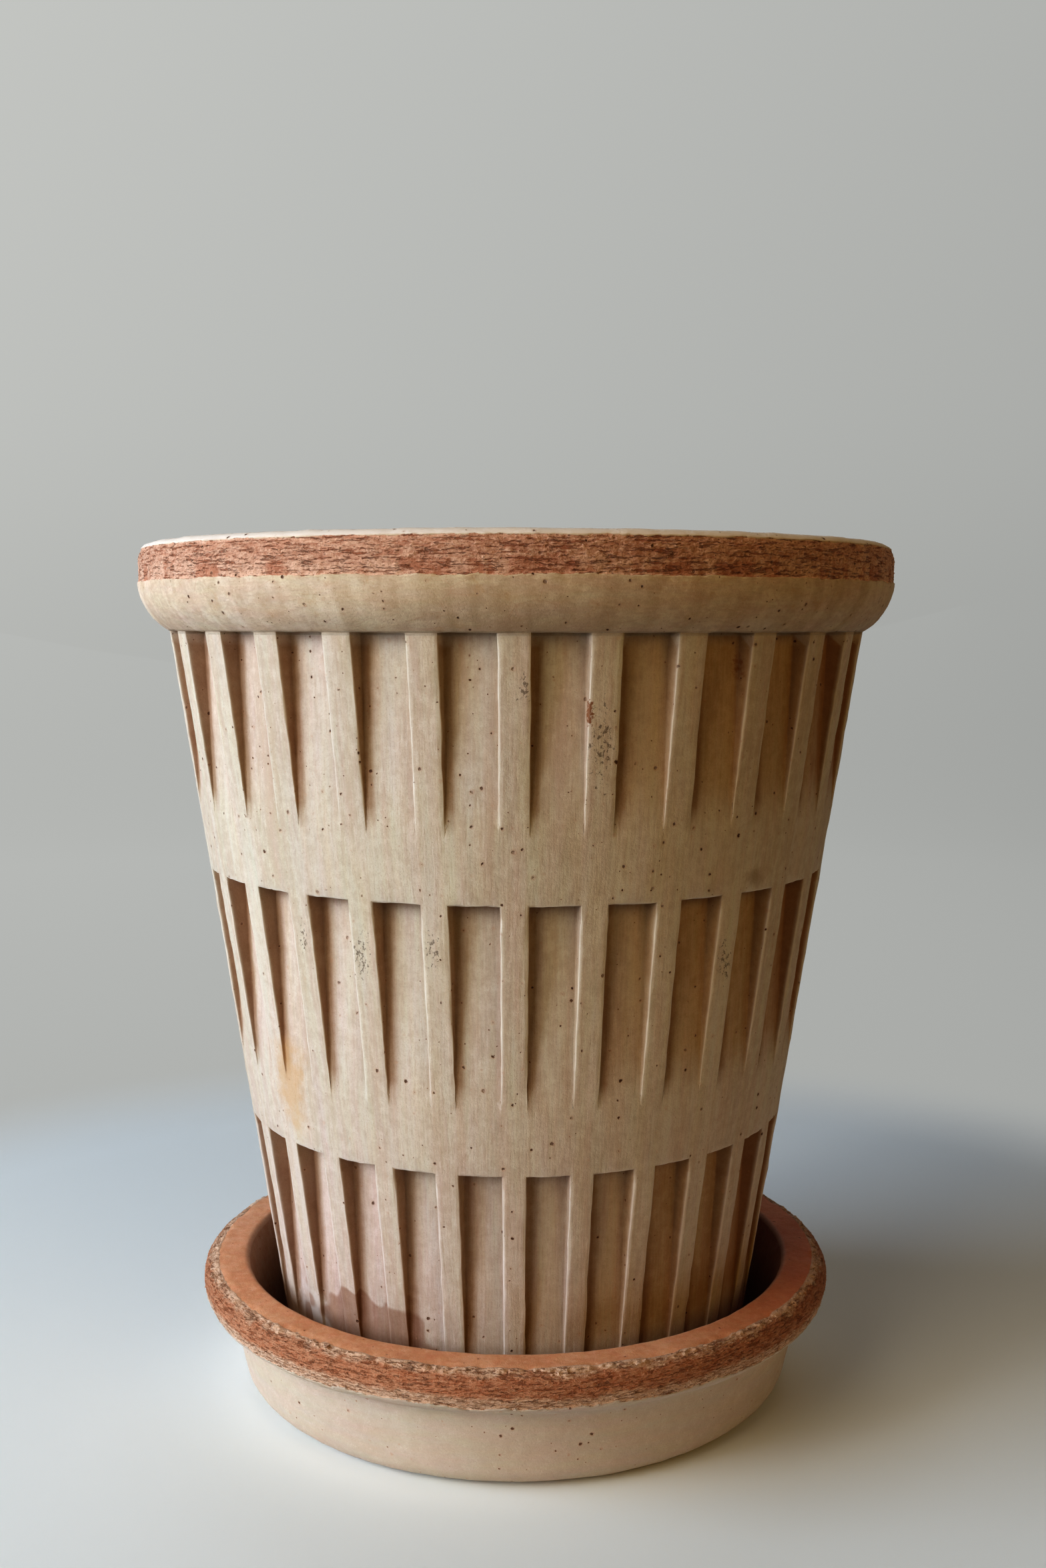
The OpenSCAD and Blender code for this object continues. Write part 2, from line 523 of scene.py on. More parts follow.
def makeScuffs():
    # broken rub marks inside a mask, closest together at its middle
    group, given, result = newGroup("scuffs", {"Place": "vector", "Mask": "value"}, {"Mask": "value"})
    rub = grain(group, stretched(group, given["Place"], (1, 1, 0.7)), 0.85, 3.0, 0.7)
    broken = total(group, (rub, 18.0), (given["Mask"], 0.165 * 18.0), (-0.69, 18.0))
    broken = addNode(group, "Clamp", {0: broken}).outputs[0]
    feed(group, product(group, broken, fade(group, given["Mask"], 0.0, 0.3)), result["Mask"])
    return group


def makeEdgeWearAndShade():
    # edges rubbed to the clay in places, and dust and painted shade darkening the corners
    group, given, result = newGroup("edgeWearAndShade", {"Patch": "value", "Edge": "value"},
                                    {"Worn": "value", "DustAndShade": "value"})
    worn = product(group, fade(group, given["Edge"], 0.1, 0.45), fade(group, given["Patch"], 0.52, 0.66))
    feed(group, worn, result["Worn"])
    feed(group, fade(group, given["Edge"], -0.08, -0.5), result["DustAndShade"])
    return group


wheelPlace = makeWheelPlace()
clayPores = makeClayPores()
limeSlip = makeLimeSlip()
scrapedClay = makeScrapedClay()
markAt = makeMarkAt()
scuffs = makeScuffs()
hairlines = makeHairlines()
edgeWearAndShade = makeEdgeWearAndShade()
print("finishes made")

makeCamera()
makeFloor()
makeLight()
print("camera, floor and light made")


# Pot

potForm = {
    "footZ": potLow.z,
    "topZ": potHigh.z,
    "rimRadius": potHigh.x,
    "rimOverhang": 8.4 * mm,
    "rimHeight": 23.8 * mm,
    "rimFaceHeight": 4.9 * mm,
    "rimRound": 4.6 * mm,
    "footRadius": 65 * mm,
    "footRound": 2.5 * mm,
    "wall": 12.5 * mm,
    "wallFade": 3 * mm,
    "floor": 12 * mm,
    "insideRound": 10 * mm,
    "drainRadius": 12.5 * mm,
    "flutes": 28,
    "ribColumns": 5,
    "fluteColumns": 8,
    "fluteDepth": 5.2 * mm,
    "bandHeight": 17 * mm,
    "footBandHeight": 14.9 * mm,
    "tierGrowth": 1.094,
    "tierRows": (14, 15, 16),  # from the top tier down
    "arrisRound": 0.8 * mm,
    "arrisTaper": 0.35,  # share of a flute, from its foot, over which its edges turn round
    "arrisSharp": math.radians(40),
    "arrisNear": 0.3 * mm,  # an arris lies this close to the ribs' surface
    "cornerRound": 1.4 * mm,
    "cornerSharp": math.radians(35),
    # painted shade in the flutes: the share of their depth where it becomes full, how far it reaches from a
    # wall or ledge, and its strength at each side
    "nookDepth": 0.12,
    "nookWidth": 3.7 * mm,
    "nookShares": (1.8, 0.6, 0.8),  # at the left side, at the right side and under the ledge
    "scrapedLow": 227.5 * mm,
    "scrapedHigh": 236.3 * mm,
    "scrapedTorn": 0.7 * mm,
    "scrapedDepth": 5 * mm,
    "unevenGrain": 26 * mm,
    "uneven": 0.5 * mm,
    "handGrain": 5 * mm,
    "handWobble": 0.36 * mm,
}
potForm["neckZ"] = potForm["topZ"] - potForm["rimHeight"]
potForm["neckRadius"] = potForm["rimRadius"] - potForm["rimOverhang"]
potForm["slope"] = (potForm["neckRadius"] - potForm["footRadius"]) / (potForm["neckZ"] - potForm["footZ"])


def bodyRadius(height):
    return potForm["footRadius"] + potForm["slope"] * (height - potForm["footZ"])


def tierHeights():
    # top and foot of each tier of flutes, from the rim down
    shares = [potForm["tierGrowth"] ** tier for tier in range(len(potForm["tierRows"]))]
    bands = (len(shares) - 1) * potForm["bandHeight"]
    zone = potForm["neckZ"] - potForm["footZ"] - potForm["footBandHeight"] - bands
    top, tiers = potForm["neckZ"], []
    for share in shares:
        foot = top - zone * share / sum(shares)
        tiers.append((top, foot))
        top = foot - potForm["bandHeight"]
    return tiers


def potOutline():
    form = potForm
    footZ, topZ = form["footZ"], form["topZ"]
    onBody = lambda height: (bodyRadius(height), height)
    faceTop = topZ - form["rimRound"]
    faceLow = faceTop - form["rimFaceHeight"]
    outline = [(form["drainRadius"], footZ)]
    heelRadius = form["footRadius"] - form["footRound"]
    goStraight(outline, (heelRadius, footZ), 4)
    goRound(outline, heelRadius, footZ + form["footRound"], form["footRound"], -90, 0, 5)
    tiers = tierHeights()
    goStraight(outline, onBody(tiers[-1][1]), 3)
    for tier in reversed(range(len(tiers))):
        goStraight(outline, onBody(tiers[tier][0]), form["tierRows"][tier])
        if tier:
            goStraight(outline, onBody(tiers[tier - 1][1]), 4)
    swell = swellPoints(*outline[-1], form["rimRadius"], faceLow, 16)
    outline += swell[1:13:2] + swell[13:]
    goStraight(outline, (form["rimRadius"], faceTop), 4)
    goRound(outline, form["rimRadius"] - form["rimRound"], faceTop, form["rimRound"], 0, 90, 8)
    lipRadius = bodyRadius(topZ) - form["wall"] + form["rimRound"]
    goStraight(outline, (lipRadius, topZ), 3)
    goRound(outline, lipRadius, faceTop, form["rimRound"], 90, 180, 5)
    floorZ = footZ + form["floor"]
    cornerRadius = bodyRadius(floorZ) - form["wall"] - form["insideRound"]
    corner = arcPoints(cornerRadius, floorZ + form["insideRound"], form["insideRound"], 0, -90, 6)
    goStraight(outline, corner[0], 14)
    outline += corner[1:]
    goStraight(outline, (form["drainRadius"], floorZ), 5)
    goStraight(outline, (form["drainRadius"], footZ), 3)
    return outline


def inFlute(place):
    columns = potForm["ribColumns"] + potForm["fluteColumns"]
    half = potForm["fluteColumns"] / columns / 2
    return abs(angleShare(place, potForm["flutes"]) - 0.5) < half


def cutFlutes():
    rowGap, seamGap = 0.05 * mm, 0.02 * mm
    for top, foot in tierHeights():
        def inTier(face):
            place = face.calc_center_median()
            outside = place.xy.length > bodyRadius(place.z) - potForm["wall"] / 4
            return outside and foot < place.z < top and inFlute(place)
        pick("FACE", inTier)
        bpy.ops.mesh.extrude_region_move(TRANSFORM_OT_translate={"value": (0, 0, 0)})
        bpy.ops.mesh.hide(unselected=True)
        mesh = bmesh.from_edit_mesh(bpy.context.object.data)
        rows = sorted({round(v.co.z / rowGap) for v in mesh.verts if not v.hide})
        for row in rows:
            height = row * rowGap
            depth = potForm["fluteDepth"] * (height - foot) / (top - foot)
            pick("VERT", lambda v: abs(v.co.z - height) < rowGap)
            size = 1 - max(depth, 0) / bodyRadius(height)
            bpy.ops.transform.resize(value=(size, size, 1), center_override=(0, 0, height))
        bpy.ops.mesh.reveal(select=False)
    bpy.ops.mesh.select_all(action="SELECT")
    bpy.ops.mesh.remove_doubles(threshold=seamGap)


def arrisWeight(edge):
    # 1 on the outer edges of a flute, less where it runs out, 0 elsewhere
    if len(edge.link_faces) != 2 or not edge.is_convex or edge.calc_face_angle() < potForm["arrisSharp"]:
        return 0
    middle = (edge.verts[0].co + edge.verts[1].co) / 2
    if abs(middle.xy.length - bodyRadius(middle.z)) > potForm["arrisNear"]:
        return 0
    for top, foot in tierHeights():
        along = (middle.z - foot) / (top - foot)
        if 0 < along and middle.z < top + mm:
            return min(along / potForm["arrisTaper"], 1)
    return 0


def roundArrises(pot):
    steps = 8
    mesh = bmesh.from_edit_mesh(pot.data)
    levels = [round(arrisWeight(edge) * steps) for edge in mesh.edges]
    for level in range(1, steps + 1):
        pick("EDGE", lambda edge: levels[edge.index] == level)
        bpy.ops.transform.edge_bevelweight(value=level / steps)
    bpy.ops.object.mode_set(mode="OBJECT")
    bpy.ops.object.modifier_add(type="BEVEL")
    rounding = pot.modifiers[-1]
    rounding.limit_method = "WEIGHT"
    rounding.width = potForm["arrisRound"]
    rounding.segments = 2
    rounding.use_clamp_overlap = False
    bpy.ops.object.modifier_apply(modifier=rounding.name)
    bpy.ops.object.mode_set(mode="EDIT")


def softenFluteCorners():
    # the upright corners between the walls and the floor of every flute
    def isCorner(edge):
        if len(edge.link_faces) != 2 or edge.is_convex:
            return False
        one, two = edge.verts
        if abs(one.co.z - two.co.z) < mm:
            return False
        middle = (one.co + two.co) / 2
        return middle.z < potForm["neckZ"] and edge.calc_face_angle() > potForm["cornerSharp"]
    pick("EDGE", isCorner)
    bpy.ops.mesh.bevel(offset=potForm["cornerRound"], segments=3, affect="EDGES", clamp_overlap=True)


tearing = {
    "cuts": 2,
    "borderFade": 0.5 * mm,
    "wideWobble": 7 * mm,
    "fineWobble": 1.5 * mm,
    "pitGrain": 1.1 * mm,
    "creviceGrain": 0.9 * mm,
    "depth": 0.5 * mm,
    "middle": 0.8,  # the share of the pattern that is pressed in
    "pitStart": 0.2,  # added to a pit's depth, in mm
}


def refineBand(isBand):
    pick("FACE", isBand)
    bpy.ops.mesh.subdivide(number_cuts=tearing["cuts"])


def scrapedWeight(place, low, high, torn):
    # 1 inside the scraped band, with a border torn by about that much
    wobble = noise.noise(place / tearing["wideWobble"]) * 0.55
    wobble += noise.noise(place / tearing["fineWobble"]) * 0.45
    inside = min(place.z - low, high - place.z) + wobble * torn
    return min(max(inside / tearing["borderFade"] + 0.5, 0), 1)


def paintGroup(piece, name, weightOf):
    group = piece.vertex_groups.new(name=name)
    for vertex in piece.data.vertices:
        weight = weightOf(vertex.co)
        if weight > 0:
            group.add([vertex.index], weight, "REPLACE")


def storeValues(piece, name, values):
    attribute = piece.data.attributes.new(name, "FLOAT", "POINT")
    attribute.data.foreach_set("value", values)


def storeShares(piece, **shares):
    for name, shareOf in shares.items():
        storeValues(piece, name, [shareOf(v.co) for v in piece.data.vertices])


def roughenBand(piece, weightOf):
    # level crevices torn by the scraper, kept as a depth in mm for the finish
    paintGroup(piece, "scrapedBand", weightOf)
    storeShares(piece, scraped=weightOf)
    before = [v.co.copy() for v in piece.data.vertices]
    displace(piece, "VORONOI", tearing["pitGrain"], tearing["depth"], tearing["middle"], squash=(3.2, 3.2, 1),
             group="scrapedBand", distance_metric="DISTANCE", weight_1=-1, weight_2=1, noise_intensity=1.2)
    displace(piece, "CLOUDS", tearing["creviceGrain"], tearing["depth"], tearing["middle"], squash=(3, 3, 1),
             group="scrapedBand", noise_depth=3, contrast=1.6)
    pits = [(a - v.co).dot(v.normal) / mm + tearing["pitStart"] for a, v in zip(before, piece.data.vertices)]
    storeValues(piece, "pitDepth", pits)


def storeEdges(piece):
    # above 0 on outer edges, below 0 in corners
    mesh = bmesh.new()
    mesh.from_mesh(piece.data)
    mesh.normal_update()
    values = []
    for vertex in mesh.verts:
        slopes = []
        for edge in vertex.link_edges:
            away = edge.other_vert(vertex).co - vertex.co
            slopes.append(-vertex.normal.dot(away.normalized()))
        values.append(sum(slopes) / len(slopes))
    mesh.free()
    storeValues(piece, "edge", values)


def triangles(piece):
    return sum(len(face.vertices) - 2 for face in piece.data.polygons)


def insideShare(place):
    # 0 outside and on the rim, 1 within the pot
    depth = bodyRadius(place.z) - potForm["wall"] * 0.6 - place.xy.length
    return min(max(depth / potForm["wallFade"], 0), 1) if place.z > potForm["footZ"] + mm else 0


def carvedShare(place):
    # the part of the wall that the cutter worked, fading out above and below
    if place.xy.length < bodyRadius(place.z) - potForm["fluteDepth"] - 2 * mm:
        return 0
    low = tierHeights()[-1][1] - 2 * mm
    return min(max(min(place.z - low, potForm["neckZ"] - place.z) / potForm["wallFade"], 0), 1)


def fluteDepthAt(place):
    # share of the flutes' full depth that a place outside lies below the ribs
    depth = (bodyRadius(place.z) - place.xy.length) / potForm["fluteDepth"]
    return min(max(depth, 0), 1) if depth < 1.2 and place.z < potForm["neckZ"] else 0


def nookShadeAt(place):
    # painted shade: 1 deep in a flute at its left side, less at its right side and under its ledge, 0 on the
    # ribs
    across = angleShare(place, potForm["flutes"]) - 0.5
    half = potForm["fluteColumns"] / (potForm["ribColumns"] + potForm["fluteColumns"]) / 2
    pitch = math.tau * place.xy.length / potForm["flutes"]
    depth = min(fluteDepthAt(place) / potForm["nookDepth"], 1)
    left = 1 - max(across + half, 0) * pitch / potForm["nookWidth"]
    right = 1 - max(half - across, 0) * pitch / potForm["nookWidth"]
    under = max(1 - abs(top - place.z) / potForm["nookWidth"] for top, foot in tierHeights())
    parts = (side * share for side, share in zip((left, right, under), potForm["nookShares"]))
    return depth * min(max(*parts, 0), 1)


def makePot():
    columns = potForm["flutes"] * (potForm["ribColumns"] + potForm["fluteColumns"])
    outline = potOutline()
    pot = startRing("potShell", columns, *outline[0], turn=math.pi / columns)
    turnOutline(outline)
    mergeAndTurnOut()
    print("pot turned")
    cutFlutes()
    roundArrises(pot)
    softenFluteCorners()
    print("flutes cut")
    low, high = potForm["scrapedLow"], potForm["scrapedHigh"]
    inner = potForm["rimRadius"] - potForm["scrapedDepth"]

    def isBand(face):
        place = face.calc_center_median()
        return low - mm < place.z < high + mm and place.xy.length > inner - mm
    refineBand(isBand)
    mergeAndTurnOut()
    bpy.ops.object.mode_set(mode="OBJECT")

    def scraped(place):
        return scrapedWeight(place, low, high, potForm["scrapedTorn"]) if place.xy.length >= inner else 0
    storeEdges(pot)
    storeShares(pot, inside=insideShare, fluteDepth=fluteDepthAt, nook=nookShadeAt)
    roughenBand(pot, scraped)
    displace(pot, "CLOUDS", potForm["unevenGrain"], potForm["uneven"], 1.0)
    paintGroup(pot, "carved", carvedShare)
    displace(pot, "CLOUDS", potForm["handGrain"], potForm["handWobble"], 0.5, squash=(1, 1, 1.4),
             group="carved", direction="RGB_TO_XYZ", cloud_type="COLOR", noise_depth=2)
    bpy.ops.object.shade_smooth_by_angle(angle=smoothAngle)
    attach(pot, "pot")
    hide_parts("pot")
    print("pot made", triangles(pot), "triangles")
    return pot


potFinish = {
    "pale": (0.71, 0.62, 0.51),
    "deep": (0.6, 0.495, 0.39),
    "floorTint": (1.02, 1.05, 1.1),
    # painted light on the flute floors towards the left, painted shade on them towards the right and far
    # right
    "floorLeft": (1.01, 0.95, 0.96),
    "floorRight": (0.86, 0.73, 0.56),
    "floorEdge": (0.7, 0.5, 0.37),
    "nookTint": (0.58, 0.45, 0.35),
    "rimTint": (1.07, 1.0, 0.9),
    "rimLeft": (1.19, 1.13, 1.1),
    "wipedTint": (0.9, 0.87, 0.83),
    "dampTint": (0.88, 0.85, 0.9),
    "arris": (0.82, 0.75, 0.66),
    "red": (0.57, 0.27, 0.17),
    "redPale": (0.82, 0.54, 0.4),
    "redDeep": (0.3, 0.095, 0.04),
    "redRight": (1.15, 1.2, 1.25),
    "rimTop": (0.92, 0.83, 0.76),
    "bareClay": (0.57, 0.33, 0.21),
    "insideClay": (0.62, 0.44, 0.32),
    "pore": (0.13, 0.06, 0.035),
    "scuffGrey": (0.17, 0.12, 0.085),
    "damp": (0.62, 0.46, 0.38),
    "limeBloom": (0.7, 0.63, 0.6),
    "rust": (0.6, 0.36, 0.17),
    "chip": (0.27, 0.1, 0.035),
    "stain": (0.36, 0.24, 0.13),
    "rimFrom": (213.6, 214.8),  # heights in mm between which something begins
    "topFrom": (236.0, 236.6),
    "dustBelow": (213.8, 213.2),
    "ruddyBelow": (233.2, 230.6),
    "dampBelow": (150, 45),
    "poresUpwards": (60, 215),
    "leftwards": (-0.1, -0.9),  # the same for shares of the radius, right of the axis
    "rightwards": (0.05, 0.6),
    "farRight": (0.76, 0.92),
    "redRightwards": (0.4, 0.9),
}

# tone, centre, size, raggedness, border and strength of each mark, in mm; the damp patch comes last
potMarks = [
    ("rust", (-58, -52, 97), (9, 9, 17), 1.6, 0.8, 0.6),
    ("chip", (17, -92.6, 195.6), (1.3, 2.5, 3.4), 2.6, 0.3, 0.9),
    ("chip", (53.6, -75.2, 206), (1.8, 3.2, 4.6), 1.8, 0.8, 0.8),
    ("stain", (59.7, -63.6, 153.5), (5, 5, 3.5), 2, 0.9, 0.6),
    ("limeBloom", (-54, -40, 28), (11, 11, 14), 1.2, 0.6, 0.8),
    ("damp", (-37, -54, 29), (21, 21, 17), 1.6, 0.14, 0.85),
]
# centre and size of each
scuffPlaces = [
    ((2, -94.6, 201.2), (2.4, 6, 6)),
    ((20.2, -91, 188), (5.4, 7, 19)),
    ((-37, -75.8, 136), (3.4, 6, 11)),
    ((-52.5, -64.8, 138.5), (2.4, 6, 8)),
    ((-19.4, -82.6, 137.8), (3.2, 6, 9)),
    ((52.4, -65.8, 133), (3.2, 6, 11)),
]


def startMaterial(name):
    material = bpy.data.materials.new(name)
    material.use_nodes = True
    tree = material.node_tree
    shader = tree.nodes["Principled BSDF"]
    shader.inputs["Specular IOR Level"].default_value = 0.25
    place = addNode(tree, "TexCoord", {}).outputs["Object"]
    return material, tree, shader, useGroup(tree, wheelPlace, {"Place": place})


def markMask(tree, place, centre, size, wander, ragged, border):
    values = {"Place": place, "Centre": centre, "Size": size, "Wander": wander, "Ragged": ragged,
              "Border": border}
    return useGroup(tree, markAt, values)["Mask"]


def scrapedBorder(tree, place):
    # the band of bare clay, with an edge made ragged by a fine grain
    border = total(tree, (meshValue(tree, "scraped"), 1.0), (grain(tree, place, 0.7, 3.0, 0.7), 0.9))
    return fade(tree, border, 0.86, 1.0)


def finishMaterial(tree, shader, colour, roughness, height):
    # height is in mm
    bump = addNode(tree, "Bump", {"Height": height, "Distance": mm, "Strength": 1.0})
    tree.links.new(colour, shader.inputs["Base Color"])
    tree.links.new(roughness, shader.inputs["Roughness"])
    tree.links.new(bump.outputs[0], shader.inputs["Normal"])


def potClay():
    tone = potFinish
    material, tree, shader, wheel = startMaterial("potClay")
    place, height = wheel["Place"], wheel["Height"]
    inside, edge = meshValue(tree, "inside"), meshValue(tree, "edge")
    onRim = product(tree, fade(tree, height, *tone["rimFrom"]), without(tree, inside))
    patch = grain(tree, place, 5.0, 4.0, 0.62)

    # lime skin outside, wiped upwards on the body and round the rim; barer and ringed inside
    upright = stretched(tree, wheel["Around"], (1, 1, 0.09))
    level = stretched(tree, place, (0.25, 0.25, 1))
    along = blend(tree, highest(tree, onRim, inside), upright, level)
    slip = useGroup(tree, limeSlip, {"Place": place, "Along": along, "Streaks": 0.9,
                                     "Pale": blend(tree, inside, tone["pale"], tone["insideClay"]),
                                     "Deep": blend(tree, inside, tone["deep"], tone["bareClay"])})

    # the flutes' floors a little paler and cooler than the ribs; painted shade makes them darker and redder
    # towards the right, away from the window, and painted light makes the floors and the rim paler towards
    # the left
    side = calc(tree, "DIVIDE", axes(tree, place)[0], wheel["Radius"])
    leftwards = fade(tree, side, *tone["leftwards"])
    floorTint = blend(tree, leftwards, tone["floorTint"], tone["floorLeft"])
    floorTint = blend(tree, fade(tree, side, *tone["rightwards"]), floorTint, tone["floorRight"])
    floorTint = blend(tree, fade(tree, side, *tone["farRight"]), floorTint, tone["floorEdge"])
    inFloor = fade(tree, meshValue(tree, "fluteDepth"), 0.02, 0.3)
    colour = tint(tree, inFloor, slip["Color"], floorTint)
    # painted shade darkening the flutes along their left walls, less along their right walls, and under their
    # ledges
    nook = calc(tree, "POWER", meshValue(tree, "nook"), 1.5)
    colour = tint(tree, product(tree, nook, 0.9), colour, tone["nookTint"])
    rimTint = blend(tree, leftwards, tone["rimTint"], tone["rimLeft"])
    colour = tint(tree, onRim, colour, rimTint)
    wiped = fade(tree, grain(tree, stretched(tree, wheel["Around"], (1, 1, 0.12)), 4.5, 2.0), 0.42, 0.62)
    colour = tint(tree, product(tree, onRim, wiped), colour, tone["wipedTint"])
    stained = product(tree, onRim, fade(tree, patch, 0.55, 0.72), 0.3)
    colour = blend(tree, stained, colour, tone["rust"])
    crossed = useGroup(tree, hairlines, {"Place": place, "Width": 0.02})["Line"]
    crossed = product(tree, crossed, total(tree, (onRim, 0.22), (0.06, 1.0)))
    colour = blend(tree, crossed, colour, tone["bareClay"])

    # pale arrises, worn through here and there, and dust and painted shade in the corners
    wearAndShade = useGroup(tree, edgeWearAndShade, {"Patch": patch, "Edge": edge})
    onArris = product(tree, fade(tree, edge, 0.05, 0.2), total(tree, (onRim, -0.75), (0.75, 1.0)))
    colour = blend(tree, onArris, colour, tone["arris"])
    colour = blend(tree, product(tree, wearAndShade["Worn"], 0.35), colour, tone["bareClay"])
    dustAndShade = product(tree, wearAndShade["DustAndShade"], fade(tree, height, *tone["dustBelow"]), 0.45)
    colour = blend(tree, dustAndShade, colour, tone["redDeep"])

    # pinker where damp has risen from the saucer
    rising = total(tree, (height, 1.0), (patch, 26.0))
    colour = tint(tree, fade(tree, rising, *tone["dampBelow"]), colour, tone["dampTint"])
    wanders = {"damp": grain(tree, place, 10.0, 1.0), "chip": grain(tree, place, 1.3, 3.0, 0.6)}
    for name, centre, spread, ragged, border, strength in potMarks:
        mask = markMask(tree, place, centre, spread, wanders.get(name, patch), ragged, border)
        kind = "MULTIPLY" if name == "damp" else "MIX"
        colour = blend(tree, product(tree, mask, strength), colour, tone[name], kind)
    damp = mask

    # scuffs where something rubbed
    rubbed = 0.0
    for centre, spread in scuffPlaces:
        rubbed = highest(tree, markMask(tree, place, centre, spread, patch, 0.8, 0.8), rubbed)
    rubbed = useGroup(tree, scuffs, {"Place": place, "Mask": rubbed})["Mask"]
    colour = blend(tree, product(tree, rubbed, 0.75), colour, tone["scuffGrey"])

    # pale rim top, partly its own paler colour and partly painted light on the upward face, and the scraped
    # band
    onTop = product(tree, fade(tree, height, *tone["topFrom"]), calc(tree, "SUBTRACT", 0.95, inside))
    colour = blend(tree, onTop, colour, tone["rimTop"])
    lowered = total(tree, (height, 1.0), (patch, 4.0), (1.0, -1.2))
    torn = useGroup(tree, scrapedClay, {"Place": place, "Pit": meshValue(tree, "pitDepth"),
                                        "Low": fade(tree, lowered, *tone["ruddyBelow"]), "Red": tone["red"],
                                        "Pale": tone["redPale"], "Deep": tone["redDeep"]})
    scraped = scrapedBorder(tree, place)
    # painted light: the scraped band paler towards the right, where the lamps leave it dark
    bandSideLight = blend(tree, fade(tree, side, *tone["redRightwards"]), (1, 1, 1), tone["redRight"])
    colour = blend(tree, scraped, colour, tint(tree, 1.0, torn["Color"], bandSideLight))

    gathered = fade(tree, grain(tree, place, 24.0, 1.0), 0.35, 0.62)
    poreShare = total(tree, (gathered, 0.4), (fade(tree, height, *tone["poresUpwards"]), 0.35),
                      (0.32, 1.0))
    pores = useGroup(tree, clayPores, {"Place": place, "Spacing": 2.4, "Largest": 0.32, "Share": poreShare})
    colour = blend(tree, product(tree, pores["Halo"], 0.35), colour, tone["bareClay"])
    colour = blend(tree, pores["Pore"], colour, tone["pore"])

    relief = blend(tree, scraped, slip["Height"], torn["Height"])
    relief = total(tree, (relief, 1.0), (pores["Pore"], -0.35))
    roughness = total(tree, (patch, 0.12), (damp, -0.25), (0.84, 1.0))
    finishMaterial(tree, shader, colour, roughness, relief)
    return material


pot = makePot()
pot.data.materials.append(potClay())


# Saucer

saucerForm = {
    "height": saucerHigh.z,
    "rimRadius": saucerHigh.x,
    "columns": 340,
    "floor": 8 * mm,
    "floorRadius": 71 * mm,  # where floor and wall would meet inside, sharp
    "lean": math.tan(math.radians(11.8)),
    "wall": 8.2 * mm,
    "rimHeight": 12.4 * mm,
    "faceHeight": 0.8 * mm,
    "outerRound": 4.7 * mm,
    "lipRound": 2 * mm,
    "heelRound": 8.8 * mm,
    "insideRound": 4 * mm,
    "poleRadius": 2 * mm,
    "scrapedLow": 27.3 * mm,
    "scrapedHigh": 36.5 * mm,
    "scrapedTorn": 2 * mm,
    "underRound": 5 * mm,
    "unevenGrain": 24 * mm,
    "uneven": 0.4 * mm,
}


def saucerInside(height):
    return saucerForm["floorRadius"] + saucerForm["lean"] * (height - saucerForm["floor"])


def saucerOutline():
    form = saucerForm
    top, heel, lip = form["height"], form["heelRound"], form["lipRound"]
    leanAngle = math.degrees(math.atan(form["lean"]))
    touch = heel * (1 - math.sin(math.radians(leanAngle)))
    heelRadius = saucerInside(touch) + form["wall"] - heel * math.cos(math.radians(leanAngle))
    rimLow = top - form["rimHeight"]
    faceTop = top - form["outerRound"]
    outline = [(form["poleRadius"], 0)]
    goStraight(outline, (heelRadius, 0), 7)
    goRound(outline, heelRadius, heel, heel, -90, -leanAngle, 9)
    corner = (saucerInside(rimLow) + form["wall"], rimLow)
    swell = swellPoints(*corner, form["rimRadius"], faceTop - form["faceHeight"], 16)
    low = rimLow - form["underRound"]
    goStraight(outline, (saucerInside(low) + form["wall"], low), 7)
    outline += easedPoints(outline[-1], corner, swell[5], 5)
    outline += swell[7:]
    goStraight(outline, (form["rimRadius"], faceTop), 1)
    goRound(outline, form["rimRadius"] - form["outerRound"], faceTop, form["outerRound"], 0, 90, 12)
    lipRadius = saucerInside(top) + lip
    goStraight(outline, (lipRadius, top), 6)
    goRound(outline, lipRadius, top - lip, lip, 90, 180, 5)
    floor, bend = form["floor"], form["insideRound"]
    corner = arcPoints(saucerInside(floor) - bend, floor + bend, bend, -leanAngle, -90, 5)
    goStraight(outline, corner[0], 14)
    outline += corner[1:]
    goStraight(outline, (form["poleRadius"], floor), 9)
    return outline


def closePole(height):
    # the small ring left round the axis gets a face, drawn to one point
    reach, gap = saucerForm["poleRadius"] * 1.01, 0.1 * mm
    pick("VERT", lambda v: v.co.xy.length < reach and abs(v.co.z - height) < gap)
    bpy.ops.mesh.edge_face_add()
    bpy.ops.mesh.poke()


def saucerInsideShare(place):
    # 1 on the top of the rim and within the dish
    if place.z > saucerForm["height"] - saucerForm["outerRound"]:
        return 1
    return 1 if place.z > mm and place.xy.length < saucerInside(place.z) + saucerForm["wall"] / 2 else 0


def makeSaucer():
    outline = saucerOutline()
    saucer = startRing("saucerDish", saucerForm["columns"], *outline[0])
    turnOutline(outline)
    closePole(0)
    closePole(saucerForm["floor"])
    print("saucer turned")
    low, high = saucerForm["scrapedLow"], saucerForm["scrapedHigh"]
    inner = saucerForm["rimRadius"] - saucerForm["outerRound"]

    def isBand(face):
        place = face.calc_center_median()
        return low - mm < place.z < saucerForm["height"] - 0.1 * mm and place.xy.length > inner
    refineBand(isBand)
    bpy.ops.mesh.select_all(action="SELECT")
    bpy.ops.mesh.normals_make_consistent(inside=False)
    bpy.ops.object.mode_set(mode="OBJECT")

    def scraped(place):
        return scrapedWeight(place, low, high, saucerForm["scrapedTorn"]) if place.xy.length >= inner else 0
    storeEdges(saucer)
    storeShares(saucer, inside=saucerInsideShare)
    roughenBand(saucer, scraped)
    displace(saucer, "CLOUDS", saucerForm["unevenGrain"], saucerForm["uneven"], 1.0)
    bpy.ops.object.shade_smooth_by_angle(angle=smoothAngle)
    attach(saucer, "saucer")
    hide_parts("saucer")
    print("saucer made", triangles(saucer), "triangles")
    return saucer


